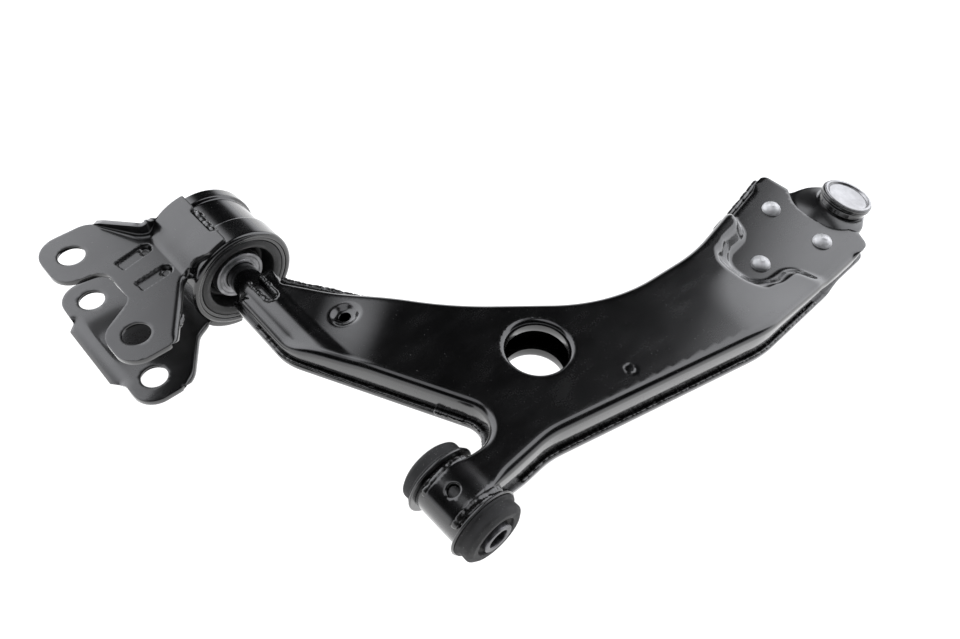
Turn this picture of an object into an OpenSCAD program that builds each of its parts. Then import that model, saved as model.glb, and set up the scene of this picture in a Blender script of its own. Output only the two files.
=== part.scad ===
// Front lower control arm of a car: a box-section arm welded from two steel pressings, with two rubber
// bushes on one pivot axis, a bolt-on bracket round the rear bush and a riveted ball joint.
// Frame: origin at the centre of the front bush, +X along the pivot axis from the rear bush to the
// front bush, +Y outboard towards the ball joint, +Z up. The ball stud points down. Millimetres.

/* [Arm] */
// Height of the upper pressing's flat above the pivot axis
arm_top = 19; // [18.5:0.5:20]
// Depth of the lower pressing's floor below the pivot axis
arm_floor = 18; // [17.5:0.5:20]
// Thickness of the pressings
sheet = 3; // [2.6:0.1:3.2]
// Outer radius of the upper pressing's folded edge
upper_fold = 5; // [4:0.5:6]
// Radius of the large weight-saving hole
hole_r = 20; // [19:0.5:21]
// Height of the clamped end above the pivot axis
clamp_top = 8; // [7.5:0.5:8.5]

/* [Front bush] */
// Bore radius of the inner sleeve
bore_r = 6.4; // [6:0.1:7]
// Length of the inner sleeve
sleeve_l = 60.8; // [60:0.2:62]
// Outer radius of the steel eye
eye_r = 19.2; // [19:0.1:19.4]
// Length of the steel eye
eye_l = 34; // [32:0.5:35]

/* [Rear bush and bracket] */
// Distance between the centres of the two bushes
bush_spacing = 246.4; // [245:0.2:248]
// Outer radius of the rear bush's housing
housing_r = 36.8; // [36:0.1:37.2]
// Length of the housing
housing_l = 56; // [54:0.5:57]
// Radius of the pin that carries the rear bush
pin_r = 10.5; // [10:0.1:10.6]
// Thickness of the bracket plates
plate_t = 3.5; // [3:0.1:4]
// Top face of the upper bracket plate
upper_plate_z = 22; // [21:0.5:23]
// Top face of the lower bracket plate
lower_plate_z = -21.5; // [-22.5:0.5:-21]
// Radius of the bolt holes
bolt_r = 8.5; // [8:0.1:9]
// Distance between the two bolts
bolt_spacing = 84.8; // [84:0.2:86]

/* [Ball joint] */
// Outward lean of the ball joint's axis, in degrees
lean_out = 12; // [10:0.5:13]
// Forward lean of the ball joint's axis, in degrees
lean_front = 4; // [3:0.5:5]
// Radius of the ball
ball_r = 11; // [10.5:0.1:11.2]
// Radius of the stud's free end
stud_r = 9; // [8.8:0.1:9]
// Length from the ball's centre to the stud's end
stud_l = 60; // [58:0.5:64]
// Outer radius of the cup
cup_r = 17.8; // [17.6:0.1:18]

/* [Hidden] */

$fn = 64;
big = 400;          // longer than any cut needs
run = 0.05;         // running clearance round a turning piece
rear_x = -bush_spacing;
coat = "#1c1d20";
weld_coat = "#2b2c30";
rubber_grey = "#3a3b3d";
steel = "#b9bcc0";

// ---- outlines: a corner is [x, y, radius], and corners run anticlockwise ----

function unit(v) = v / norm(v);
function right_of(v) = [v[1], -v[0]];
function cross2(a, b) = a[0] * b[1] - a[1] * b[0];
function spin(v, a) = [v[0] * cos(a) - v[1] * sin(a), v[0] * sin(a) + v[1] * cos(a)];
function xy(p) = [p[0], p[1]];
function raise(points, z) = [for (p = points) [p[0], p[1], z]];

// Points along one rounded corner, with the outline moved outwards by grow
function corner_points(before, corner, after, grow, steps) =
    let (d1 = unit(xy(corner) - xy(before)),
         d2 = unit(xy(after) - xy(corner)),
         turn = atan2(cross2(d1, d2), d1 * d2),
         r = max(corner[2] + sign(turn) * grow, 0.3),
         p = xy(corner) + grow * (right_of(d1) + right_of(d2)) / (1 + d1 * d2),
         start = p - d1 * r * tan(abs(turn) / 2),
         centre = start - sign(turn) * r * right_of(d1))
    [for (k = [0 : steps]) centre + spin(start - centre, turn * k / steps)];

function outline(corners, grow = 0, steps = 5) =
    let (n = len(corners))
    [for (i = [0 : n - 1])
        each corner_points(corners[(i + n - 1) % n], corners[i], corners[(i + 1) % n], grow, steps)];

// Closed solid through a stack of rings that have the same number of points. The end rings may be
// concave, and resize, which keeps the size here, makes the solid one closed mesh.
module loft(rings) {
    n = len(rings[0]);
    top = len(rings) - 1;
    resize([0, 0, 0])
        polyhedron(
            points = [for (ring = rings) each ring],
            faces = concat(
                [[for (i = [0 : n - 1]) i]],
                [[for (i = [n - 1 : -1 : 0]) top * n + i]],
                [for (k = [0 : top - 1], i = [0 : n - 1])
                    [k * n + i, (k + 1) * n + i, (k + 1) * n + (i + 1) % n, k * n + (i + 1) % n]]));
}

module slab(corners, z0, z1, grow = 0) {
    translate([0, 0, z0])
        linear_extrude(z1 - z0)
            polygon(outline(corners, grow));
}

// Solid round the pivot axis, from x0 to x1
module round_x(r, x0, x1) {
    translate([x0, 0, 0])
        rotate([0, 90, 0])
            cylinder(r = r, h = x1 - x0);
}

module tube_x(r_out, r_in, x0, x1) {
    difference() {
        round_x(r_out, x0, x1);
        round_x(r_in, x0 - 1, x1 + 1);
    }
}

// Prism along X from an outline in Y and Z
module prism_x(points, x0, x1) {
    translate([x0, 0, 0])
        rotate([90, 0, 90])
            linear_extrude(x1 - x0)
                polygon(points);
}

// Wedge between two angles about the pivot axis, measured from +Y towards +Z
module wedge_x(a0, a1, x0, x1) {
    reach = 80;
    prism_x([[0, 0], for (a = [a0, (a0 + a1) / 2, a1]) reach * [cos(a), sin(a)]], x0, x1);
}

// Turned piece: outline of [x, radius] pairs spun round the pivot axis
module turned_x(points) {
    rotate([0, 90, 0])
        rotate_extrude()
            polygon([for (p = points) [p[1], p[0]]]);
}

// ---- arm pressings ----

arm_corners = [
    [12.5, -2, 1], [9.5, 60, 60], [46.5, 222, 90], [43.5, 351, 8], [31, 358, 5], [-8, 338, 28],
    [-29, 357, 3], [-51, 356, 5], [-30, 240, 140], [-36, 160, 120], [-104.5, 76, 250],
    [-191, 14, 4], [-205, 14, 2], [-205, -15, 4], [-144, -16, 40], [-12, 51, 17], [-12, -2, 1]];

// Clamped end: its floor, and its rim where it meets the arm's flat
bay_floor = [[-14, 258, 13], [15, 258, 13], [16, 290, 10], [80, 318, 1],
             [80, 420, 1], [-90, 420, 1], [-90, 318, 1], [-17, 290, 10]];
bay_rim = [[-27, 240, 25], [27, 240, 25], [28, 284, 12], [80, 306, 1],
           [80, 420, 1], [-90, 420, 1], [-90, 300, 1], [-30, 288, 10]];

// Lowered flat at the rear leg
leg_top = 12;
leg_floor = [[-240, -60, 1], [-140, -60, 1], [-122, 5, 12], [-157, 44, 10], [-180, 80, 1], [-240, 80, 1]];
leg_rim = [[-240, -60, 1], [-130, -60, 1], [-112, 5, 12], [-147, 46, 10], [-170, 80, 1], [-240, 80, 1]];

rim_z = -4;              // lower edge of the upper pressing's walls
lower_clamp = 6;         // depth of the lower pressing's clamped end
lap_z = -1;              // upper edge of the lower pressing's walls, which lap outside
hole_at = [-40, 98];
saddle_r = 14;           // outside of the half round over the pin
saddle_end = -122;
pin_end = -138;           // inner end of the rear bush's pin
plug_slot = [[-215, -4.2, 1], [-181, -4.2, 4.1], [-181, 4.2, 4.1], [-215, 4.2, 1]];
drain_at = [-141, 24];
drain_r = 4.3;
rivet_at = [[-24, 328], [20, 328], [4, 275]];
rivet_r = 5.2;
wrap_w = 21.5;           // width of the strip wrapped over the front eye
wrap_r = eye_r + sheet;

// Floor of the lower pressing's dish
dish_corners = [
    [10.7, -2, 1], [8.2, 62, 60], [36, 222, 85], [34, 344, 2], [28, 348, 2], [-8, 328, 30],
    [-30, 347, 1], [-42, 347, 2], [-19.5, 240, 150], [-27, 155, 125], [-99, 66, 255],
    [-190, 6, 3], [-204, 6, 1], [-204, -6, 1], [-146, -6, 30], [-10.7, 62, 24], [-10.7, -2, 1]];
dish_edge = 5.2;         // height of the lower pressing's upright edge, below the middle

// Tray with a folded edge, open downwards
module folded_tray(grow, rim, top, fold) {
    inner_fold = fold - sheet;
    bend = [0, 30, 60, 90];
    inside = [for (a = bend)
        raise(outline(arm_corners, grow - sheet - inner_fold * (1 - sin(a))),
              top - sheet - inner_fold * (1 - cos(a)))];
    outside = [for (k = [3 : -1 : 0])
        let (a = bend[k])
        raise(outline(arm_corners, grow - fold * (1 - sin(a))), top - fold * (1 - cos(a)))];
    loft(concat(inside,
                [raise(outline(arm_corners, grow - sheet), rim), raise(outline(arm_corners, grow), rim)],
                outside));
}

// Tray with an upright edge and walls that slope in to its floor
module dished_tray(rim, inner_edge, top) {
    lean = 1.2;
    loft([raise(outline(dish_corners, -lean), top - sheet), raise(outline(arm_corners), inner_edge),
          raise(outline(arm_corners), rim), raise(outline(arm_corners, sheet), rim),
          raise(outline(arm_corners, sheet), dish_edge), raise(outline(dish_corners), top)]);
}

// Sunk region: cut is the space above it, and body is its sheet with the sloping wall round it
module sunk_cut(floor_corners, rim_corners, floor_z, top) {
    loft([raise(outline(floor_corners), floor_z), raise(outline(rim_corners), top + 0.01)]);
}

module sunk_body(floor_corners, rim_corners, floor_z, top) {
    loft([raise(outline(floor_corners, sheet), floor_z - sheet),
          raise(outline(rim_corners, sheet), top)]);
}

// Hole cutter with a rounded mouth at height top
module flared_hole(r, flare, top) {
    translate([hole_at[0], hole_at[1], 0])
        rotate_extrude()
            polygon([[0, 0], [r, 0],
                     for (a = [0 : 22.5 : 90]) [r + flare * (1 - cos(a)), top - flare * (1 - sin(a))],
                     [r + flare, top + 1], [0, top + 1]]);
}

// Turned-down lip round the large hole
module hole_lip(r, top, depth) {
    translate([hole_at[0], hole_at[1], top - depth])
        cylinder(r = r + sheet, h = depth - sheet / 2);
}

// Strip that leads from the flat over the front eye and round its far side
module eye_wrap(flat_z, end_angle) {
    ramp_y = 26;
    inside_r = 12;
    turn = end_angle - 90;
    prism_x([[inside_r / 2, flat_z - sheet], [ramp_y, flat_z - sheet], [ramp_y, flat_z],
             for (k = [0 : 6]) wrap_r * [cos(90 + turn * k / 6), sin(90 + turn * k / 6)],
             inside_r * [cos(end_angle), sin(end_angle)]],
            -wrap_w / 2, wrap_w / 2);
}

// One pressing made from a tray, drawn open downwards: the lower one is its mirror image. Its half
// round over the pin starts at saddle_z.
module pressing(grow, rim, saddle_z, top, clamp_z, leg_z, wrap_angle) {
    flare = 3.7;
    lip_depth = 9;
    mouth = [[-46, 300, 1], [41, 300, 1], [41, 420, 1], [-46, 420, 1]];
    difference() {
        union() {
            difference() {
                children();
                sunk_body(bay_floor, bay_rim, clamp_z, top + 1);
                sunk_body(leg_floor, leg_rim, leg_z, top + 1);
            }
            intersection() {
                slab(arm_corners, 0.5, top, grow);
                union() {
                    difference() {
                        sunk_body(bay_floor, bay_rim, clamp_z, top);
                        sunk_cut(bay_floor, bay_rim, clamp_z, top);
                    }
                    difference() {
                        sunk_body(leg_floor, leg_rim, leg_z, top);
                        sunk_cut(leg_floor, leg_rim, leg_z, top);
                    }
                    intersection() {
                        round_x(saddle_r, -big, saddle_end);
                        slab(arm_corners, saddle_z, top, grow);
                    }
                }
            }
            hole_lip(hole_r, top, lip_depth);
            eye_wrap(top, wrap_angle);
        }
        round_x(pin_r, -big, pin_end + 1);
        round_x(eye_r, -40, 40);
        slab(mouth, rim - 1, clamp_z - sheet);
        flared_hole(hole_r, flare, top);
        for (p = rivet_at)
            translate([p[0], p[1], -big / 2])
                cylinder(r = rivet_r, h = big);
    }
}

module upper_shell() {
    plug_r = 3.4;
    end_region = [[-80, 292, 1], [80, 292, 1], [80, 420, 1], [-80, 420, 1]];
    color(coat)
    difference() {
        pressing(0, rim_z, 0.5, arm_top, clamp_top, leg_top, 151)
            folded_tray(0, rim_z, arm_top, upper_fold);
        slab(end_region, rim_z - 1, sheet - lower_clamp);
        slab(plug_slot, 5, big);
        translate([drain_at[0], drain_at[1], 0])
            cylinder(r = drain_r, h = big);
        translate([0, -5, 0])
            cylinder(r = plug_r, h = big);
    }
}

module lower_shell() {
    cup_gap = 23;
    color(coat)
    difference() {
        mirror([0, 0, 1])
            pressing(sheet, -lap_z, -rim_z, arm_floor, lower_clamp, leg_top + 1.5, 112)
                dished_tray(-lap_z, -rim_z, arm_floor);
        on_ball_axis()
            cylinder(r = cup_gap, h = 80, center = true);
    }
}

// Beads in the corner between the lower pressing's edge and the upper pressing's wall
module shell_seam_weld() {
    bead = 2.6;
    leg_run = [[-196, -30, 1], [-38, -30, 1], [-38, 60, 1], [-196, 4, 1]];
    far_run = [[-188, 18, 1], [-120, 44, 1], [-20, 150, 1], [-20, 340, 1], [-80, 340, 1], [-188, 60, 1]];
    front_run = [[2, 28, 1], [80, 28, 1], [80, 300, 1], [34, 300, 1], [2, 90, 1]];
    color(weld_coat)
    intersection() {
        difference() {
            slab(arm_corners, lap_z, lap_z + bead, bead);
            slab(arm_corners, lap_z - 1, lap_z + bead + 1);
        }
        union() {
            slab(leg_run, -10, 10);
            slab(far_run, -10, 10);
            slab(front_run, -10, 10);
        }
    }
}

// ---- front bush ----

eye_in_r = 16.6;
shell_t = 1.2;
flange_r = 23.3;
flange_t = 1.6;
sleeve_r = 9.8;
cap_end = 29;

module front_bush_tube() {
    color(coat)
    tube_x(eye_r, eye_in_r, -eye_l / 2, eye_l / 2);
}

// Beads at both edges of the strips wrapped over the eye
module front_bush_tube_weld() {
    bead = 2.4;
    color(weld_coat)
    difference() {
        for (s = [-1, 1], span = [[60, 148], [-137, -60]])
            intersection() {
                tube_x(eye_r + bead, eye_r, s > 0 ? wrap_w / 2 : -wrap_w / 2 - bead,
                       s > 0 ? wrap_w / 2 + bead : -wrap_w / 2);
                wedge_x(span[0], span[1], -40, 40);
            }
        slab(arm_corners, -arm_floor, arm_top, sheet);
    }
}

module half_bush_shell() {
    color(coat)
    turned_x([[0.3, eye_in_r - shell_t], [0.3, eye_in_r], [eye_l / 2, eye_in_r], [eye_l / 2, flange_r],
              [eye_l / 2 + flange_t, flange_r], [eye_l / 2 + flange_t, eye_in_r - shell_t]]);
}

module half_bush_rubber() {
    hole = sleeve_r + run;
    cap_r = 20.3;
    cap_x = eye_l / 2 + flange_t;
    rounding = 3.6;
    groove_r = 13;
    groove_x = cap_end - 3.5;
    color(rubber_grey)
    turned_x([[0.3, hole], [0.3, eye_in_r - shell_t], [cap_x, eye_in_r - shell_t], [cap_x, cap_r + 0.8],
              for (a = [0 : 15 : 90])
                  [cap_end - rounding * (1 - sin(a)), cap_r - rounding * (1 - cos(a))],
              [cap_end, groove_r + 0.6], [groove_x, groove_r], [groove_x, hole]]);
}

module front_bush_sleeve_front() half_bush_shell();
module front_bush_sleeve_rear() mirror([1, 0, 0]) half_bush_shell();
module front_bush_rubber_front() half_bush_rubber();
module front_bush_rubber_rear() mirror([1, 0, 0]) half_bush_rubber();

module front_bush_inner_sleeve() {
    color(steel)
    tube_x(sleeve_r, bore_r, -sleeve_l / 2, sleeve_l / 2);
}

// ---- rear bush ----

core_r = 17.5;
core_l = 50;
sleeve_in_r = 30.5;
sleeve_out_r = 33;
housing_front = rear_x + housing_l / 2;
housing_rear = rear_x - housing_l / 2;

module rear_pin() {
    head_t = 3;
    head_r = 14;
    color(coat)
    union() {
        round_x(pin_r, rear_x - core_l / 2 - 4, pin_end);
        round_x(head_r, rear_x - core_l / 2 - 4 - head_t, rear_x - core_l / 2 - 4);
    }
}

// Weld in the leg's slot, which holds the pin
module rear_pin_weld() {
    color(weld_coat)
    intersection() {
        tube_x(pin_r + 1.8, pin_r, -204, -180);
        slab(plug_slot, 0, big);
    }
}

module rear_bush_core() {
    color("#a3a6aa")
    tube_x(core_r, pin_r, rear_x - core_l / 2 - 4, housing_front - 5);
}

// Rubber with two kidney-shaped voids above and below the core
module rear_bush_rubber() {
    void_in = 20.5;
    void_out = 26.5;
    outer = sleeve_in_r - run;
    color(rubber_grey)
    difference() {
        tube_x(outer, core_r, housing_rear + 3, housing_front - 2);
        for (mid = [90, 270])
            intersection() {
                tube_x(void_out, void_in, rear_x - 40, rear_x + 40);
                wedge_x(mid - 52, mid + 52, -big, 0);
            }
    }
}

module rear_bush_outer_sleeve() {
    color(coat)
    tube_x(sleeve_out_r, sleeve_in_r, housing_rear + 1, housing_front - 1);
}

// Housing with raised bands at both ends
module rear_housing() {
    band_rear = rear_x - 18.6;
    band_front = rear_x + 7.9;
    waist_r = housing_r - 1.5;
    color(coat)
    turned_x([[housing_rear, sleeve_out_r], [housing_rear, housing_r - 1],
              [housing_rear + 1, housing_r], [band_rear - 1, housing_r], [band_rear, waist_r],
              [band_front, waist_r], [band_front + 1, housing_r], [housing_front - 1, housing_r],
              [housing_front, housing_r - 1], [housing_front, sleeve_out_r]]);
}

// ---- bracket ----

bolt_y = -81;
bolt_x = rear_x + 1.2;
upper_plate_corners = [
    [-309, -99, 17], [-267, -99, 15], [-262, -71, 9], [-230, -71, 9], [-214, -98, 15], [-182, -98, 15],
    [-182, -66, 9], [-224, -36, 12], [-222, -20, 2], [-275, -20, 2], [-277, -34, 8], [-309, -60, 14]];
lower_plate_corners = [
    [-307, -98.5, 16], [-277, -99, 1], [-276, -90, 1], [-221, -90, 1], [-213, -98, 6], [-181, -98, 15],
    [-181, -63, 20], [-213, -42, 14], [-219, -20, 2], [-275, -20, 2], [-281, -40, 10], [-307, -64, 14]];
strap_x0 = -274;
strap_x1 = -221;

// Part of the plate that wraps onto the housing, between two angles
module strap(a0, a1) {
    intersection() {
        tube_x(housing_r + plate_t, housing_r, strap_x0, strap_x1);
        wedge_x(a0, a1, -big, 0);
    }
}

module bolt_holes() {
    for (s = [-1, 1])
        translate([bolt_x + s * bolt_spacing / 2, bolt_y, -big / 2])
            cylinder(r = bolt_r, h = big);
}

// Pressed groove with round ends, along Y
module stiffening_groove(x) {
    groove_r = 4.5;
    groove_d = 1.8;
    translate([x, -52, upper_plate_z - groove_d])
        linear_extrude(groove_d + 1)
            polygon(outline([[-groove_r, -15, groove_r - 0.1], [groove_r, -15, groove_r - 0.1],
                             [groove_r, 15, groove_r - 0.1], [-groove_r, 15, groove_r - 0.1]]));
}

// Standing rim along the part of a plate's edge that lies inside region
module standing_rim(corners, region, z0, z1) {
    intersection() {
        difference() {
            slab(corners, z0, z1);
            slab(corners, z0 - 1, z1 + 1, -plate_t);
        }
        slab(region, z0 - 1, z1 + 1);
    }
}

module bracket_upper_plate() {
    z0 = upper_plate_z - plate_t;
    rim_region = [[-330, -64, 1], [-274, -64, 1], [-274, -21, 1], [-330, -21, 1]];
    skirt_region = [[-225, -66, 1], [-190, -66, 1], [-190, -30, 1], [-225, -30, 1]];
    color(coat)
    difference() {
        union() {
            difference() {
                slab(upper_plate_corners, z0, upper_plate_z);
                round_x(housing_r + plate_t / 2, -big, 0);
            }
            strap(99, 152);
            standing_rim(upper_plate_corners, rim_region, z0, upper_plate_z + 6);
            standing_rim(upper_plate_corners, skirt_region, z0 - 6, upper_plate_z);
        }
        round_x(housing_r, -big, 0);
        bolt_holes();
        stiffening_groove(-261.5);
        stiffening_groove(-237);
    }
}

module bracket_lower_plate() {
    z0 = lower_plate_z - plate_t;
    tab_y = -104;
    tab_z = -28;
    tab = [[-76, lower_plate_z], [-92, lower_plate_z], [-99, lower_plate_z - 2], [tab_y, tab_z],
           [tab_y + 1.5, tab_z - plate_t], [-97.5, z0 - 1.5], [-91, z0], [-76, z0]];
    skirt_region = [[-225, -66, 1], [-178, -66, 1], [-178, -30, 1], [-225, -30, 1]];
    color(coat)
    difference() {
        union() {
            difference() {
                slab(lower_plate_corners, z0, lower_plate_z);
                round_x(housing_r + plate_t / 2, -big, 0);
            }
            strap(208, 261);
            prism_x(tab, -276.5, -220.5);
            standing_rim(lower_plate_corners, skirt_region, z0 - 1.5, lower_plate_z);
        }
        round_x(housing_r, -big, 0);
        bolt_holes();
    }
}

// Beads where the two straps end on the housing
module bracket_welds() {
    bead = 2.6;
    color(weld_coat)
    for (span = [[94.8, 99], [261, 265.2]])
        intersection() {
            tube_x(housing_r + bead, housing_r, -236, -224);
            wedge_x(span[0], span[1], -big, 0);
        }
}

// ---- ball joint: its own axis runs along Z through the ball's centre ----

ball_at = [7, 373, 2];
cup_top = 14.2;
cup_bottom = -15;
disc_z = 11.3;
seat_r = 15.5;
lip_z = -7;
boot_groove_r = 16.6;
neck_r = 7;
collar_r = 9.4;
collar_top = -23;
collar_bottom = -33;
flange_top = clamp_top - sheet;
flange_bottom = -3;
flange_corners = [
    [-8, 262, 8], [16, 262, 8], [35, 318, 12], [31, 366, 10], [22, 386, 8], [-10, 386, 8],
    [-21, 372, 8], [-38, 338, 12]];

module on_ball_axis() {
    translate(ball_at)
        rotate([-lean_out, lean_front, 0])
            children();
}

// Turned piece: outline of [radius, height] pairs on the ball joint's axis
module turned_on_ball(points) {
    on_ball_axis()
        rotate_extrude()
            polygon(points);
}

module ball_joint_housing() {
    color(coat)
    difference() {
        union() {
            slab(flange_corners, flange_bottom, flange_top);
            turned_on_ball([[0, cup_bottom], [cup_r, cup_bottom], [cup_r, -13], [boot_groove_r, -13],
                            [boot_groove_r, -10], [cup_r, -10], [cup_r, cup_top], [0, cup_top]]);
        }
        turned_on_ball([[0, cup_bottom - 1], [15.9, cup_bottom - 1], [12, -9], [12, lip_z],
                        [seat_r, lip_z], [seat_r, cup_top + 1], [0, cup_top + 1]]);
        for (p = rivet_at)
            translate([p[0], p[1], -big / 2])
                cylinder(r = rivet_r, h = big);
        // clearance for the boot's groove through the flange
        turned_on_ball([[boot_groove_r, -13], [24, -13], [24, -10], [boot_groove_r, -10]]);
    }
}

module ball_joint_cover() {
    rim_r = 18.8;
    rim_top = 15.6;
    skirt_z = 10.6;
    dish_r = 15.2;
    color("#d9dbdd")
    turned_on_ball([[0, 13], [seat_r, 13], [seat_r, cup_top], [cup_r, cup_top], [cup_r, skirt_z],
                    [rim_r, skirt_z], [rim_r, rim_top - 0.6], [rim_r - 0.6, rim_top],
                    [dish_r + 1, rim_top], [dish_r, cup_top], [0, cup_top]]);
}

module preload_disc() {
    color(steel)
    turned_on_ball([[0, disc_z + 0.5], [seat_r, disc_z], [seat_r, disc_z + 1.2], [0, disc_z + 1.7]]);
}

module ball_seat() {
    color("#e6e1d2")
    difference() {
        turned_on_ball([[0, lip_z], [seat_r, lip_z], [seat_r, disc_z], [0, disc_z]]);
        on_ball_axis()
            sphere(r = ball_r + run);
        on_ball_axis()
            cylinder(r = 5, h = 20);
        turned_on_ball([[0, lip_z - 1], [11.4, lip_z - 1], [10.2, -5], [0, -5]]);
    }
}

module ball_stud() {
    groove_z = -47;
    groove_half = 4;
    groove_d = 1.8;
    chamfer = 1.5;
    color(steel)
    difference() {
        union() {
            on_ball_axis()
                sphere(r = ball_r);
            turned_on_ball([[0, -stud_l], [stud_r - chamfer, -stud_l], [stud_r, chamfer - stud_l],
                            for (k = [-3 : 3])
                                [stud_r - groove_d * cos(30 * k), groove_z + groove_half * k / 3],
                            [stud_r, collar_bottom], [collar_r, collar_bottom], [collar_r, collar_top],
                            [neck_r, collar_top + 3], [neck_r, -3], [0, -3]]);
        }
        on_ball_axis()
            translate([0, 0, -stud_l - 1])
                cylinder(r = 4, h = 9, $fn = 6);
    }
}

boot_t = 1.4;
boot_end = -31;

module dust_boot() {
    seal_r = collar_r + run;
    bead_r = cup_r + 0.8;
    color("#27282a")
    turned_on_ball([[boot_groove_r, -12.8], [boot_groove_r, -10.2], [bead_r, -10.2], [bead_r, -13],
                    [19.4, -15.2], [21, -18], [21, -20.5], [17, -24], [12.5, -27],
                    [seal_r + boot_t, -28], [seal_r + boot_t, boot_end], [seal_r, boot_end],
                    [seal_r, -27], [11.6, -26], [16, -23], [19.5, -20], [19.5, -18.4],
                    [cup_r + run, -15.4], [cup_r + run, -12.8]]);
}

module boot_clamp_large() {
    color(steel)
    turned_on_ball([[cup_r + 0.8, -12.6], [cup_r + 2.2, -12.6], [cup_r + 2.2, -10.8], [cup_r + 0.8, -10.8]]);
}

module boot_clamp_small() {
    inner = collar_r + run + boot_t;
    color(steel)
    turned_on_ball([[inner, -30], [inner + 1.3, -30], [inner + 1.3, -28.4], [inner, -28.4]]);
}

module ball_joint_rivets() {
    head_r = 7;
    head_h = 5.4;
    lower_face = -6;
    color(steel)
    for (p = rivet_at)
        translate([p[0], p[1], 0])
            rotate_extrude()
                polygon([[0, lower_face - head_h],
                         for (a = [75 : -15 : 0]) [head_r * cos(a), lower_face - head_h * sin(a)],
                         [rivet_r, lower_face], [rivet_r, clamp_top],
                         for (a = [0 : 15 : 75]) [head_r * cos(a), clamp_top + head_h * sin(a)],
                         [0, clamp_top + head_h]]);
}

upper_shell();
lower_shell();
shell_seam_weld();
front_bush_tube();
front_bush_tube_weld();
front_bush_sleeve_front();
front_bush_sleeve_rear();
front_bush_rubber_front();
front_bush_rubber_rear();
front_bush_inner_sleeve();
rear_pin();
rear_pin_weld();
rear_bush_core();
rear_bush_rubber();
rear_bush_outer_sleeve();
rear_housing();
bracket_upper_plate();
bracket_lower_plate();
bracket_welds();
ball_joint_housing();
ball_joint_cover();
ball_joint_rivets();
ball_seat();
preload_disc();
ball_stud();
dust_boot();
boot_clamp_large();
boot_clamp_small();
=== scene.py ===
"""Looks of the front lower control arm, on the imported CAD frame. Lengths here are millimetres."""

import math

import bmesh
import bpy
import numpy as np
from mathutils import Matrix, Vector
from mathutils.geometry import delaunay_2d_cdt


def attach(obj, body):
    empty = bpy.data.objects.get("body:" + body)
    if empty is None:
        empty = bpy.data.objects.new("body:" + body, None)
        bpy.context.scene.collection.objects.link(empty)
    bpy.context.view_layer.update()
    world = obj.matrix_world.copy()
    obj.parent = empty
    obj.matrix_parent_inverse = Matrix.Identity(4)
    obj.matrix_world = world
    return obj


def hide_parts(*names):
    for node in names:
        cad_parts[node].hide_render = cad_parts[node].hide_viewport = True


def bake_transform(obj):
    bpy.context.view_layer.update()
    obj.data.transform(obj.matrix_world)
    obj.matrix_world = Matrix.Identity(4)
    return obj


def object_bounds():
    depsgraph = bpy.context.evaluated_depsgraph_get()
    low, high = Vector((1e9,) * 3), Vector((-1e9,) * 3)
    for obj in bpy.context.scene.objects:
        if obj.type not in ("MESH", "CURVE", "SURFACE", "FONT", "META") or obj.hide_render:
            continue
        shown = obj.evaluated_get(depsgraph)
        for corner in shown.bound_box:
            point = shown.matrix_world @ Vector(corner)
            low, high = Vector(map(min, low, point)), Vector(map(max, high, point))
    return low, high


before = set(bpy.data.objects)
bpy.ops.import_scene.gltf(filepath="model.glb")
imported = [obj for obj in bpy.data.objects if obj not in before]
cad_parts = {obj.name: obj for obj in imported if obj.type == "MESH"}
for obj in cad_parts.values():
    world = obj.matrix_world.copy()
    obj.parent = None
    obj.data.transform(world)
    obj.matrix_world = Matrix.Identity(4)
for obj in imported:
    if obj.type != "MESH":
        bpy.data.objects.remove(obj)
CAD_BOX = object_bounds()
MM = 0.001


# ---------------------------------------------------------------- plane geometry


def smooth(t):
    t = np.clip(t, 0.0, 1.0)
    return t * t * (3 - 2 * t)


def smooth_max(a, b, width):
    return np.maximum(a, b) + np.maximum(width - np.abs(a - b), 0) ** 2 / (4 * width)


def right_of(v):
    return np.array([v[1], -v[0]])


def corner_arc(before, corner, after, grow):
    """(start, centre, turn, radius) of a rounded corner of an outline moved outwards by grow."""
    d1 = (corner - before)[:2]
    d2 = (after - corner)[:2]
    d1, d2 = d1 / np.linalg.norm(d1), d2 / np.linalg.norm(d2)
    turn = math.atan2(d1[0] * d2[1] - d1[1] * d2[0], d1 @ d2)
    sign = math.copysign(1, turn)
    radius = max(corner[2] + sign * grow, 0.3)
    moved = corner[:2] + grow * (right_of(d1) + right_of(d2)) / (1 + d1 @ d2)
    start = moved - d1 * radius * math.tan(abs(turn) / 2)
    return start, start - sign * radius * right_of(d1), turn, radius


def ring(corners, grow=0.0, step=2.5, least=4):
    """Anticlockwise outline with rounded corners [x, y, radius]. Its point count doesn't depend on grow."""
    c = np.array(corners, float)
    n = len(c)
    plain = [corner_arc(c[i - 1], c[i], c[(i + 1) % n], 0.0) for i in range(n)]
    moved = [corner_arc(c[i - 1], c[i], c[(i + 1) % n], grow) for i in range(n)]

    def arc_point(arc, share):
        start, centre, turn, _ = arc
        a = turn * share
        v = start - centre
        return centre + np.array([v[0] * math.cos(a) - v[1] * math.sin(a),
                                  v[0] * math.sin(a) + v[1] * math.cos(a)])

    out = []
    for i in range(n):
        steps = max(least, math.ceil(plain[i][3] * abs(plain[i][2]) / step))
        out += [arc_point(moved[i], k / steps) for k in range(steps + 1)]
        gap = np.linalg.norm(plain[(i + 1) % n][0] - arc_point(plain[i], 1))
        pieces = max(1, round(gap / step))
        end, following = out[-1], moved[(i + 1) % n][0]
        out += [end + (following - end) * k / pieces for k in range(1, pieces)]
    return np.array(out)


def inside(points, loop):
    x, y = points[:, 0:1], points[:, 1:2]
    x0, y0 = loop[:, 0], loop[:, 1]
    x1, y1 = np.roll(x0, -1), np.roll(y0, -1)
    crosses = (y0 > y) != (y1 > y)
    at = x0 + (y - y0) * (x1 - x0) / np.where(y1 == y0, 1e-12, y1 - y0)
    return (crosses & (x < at)).sum(1) % 2 == 1


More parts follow.
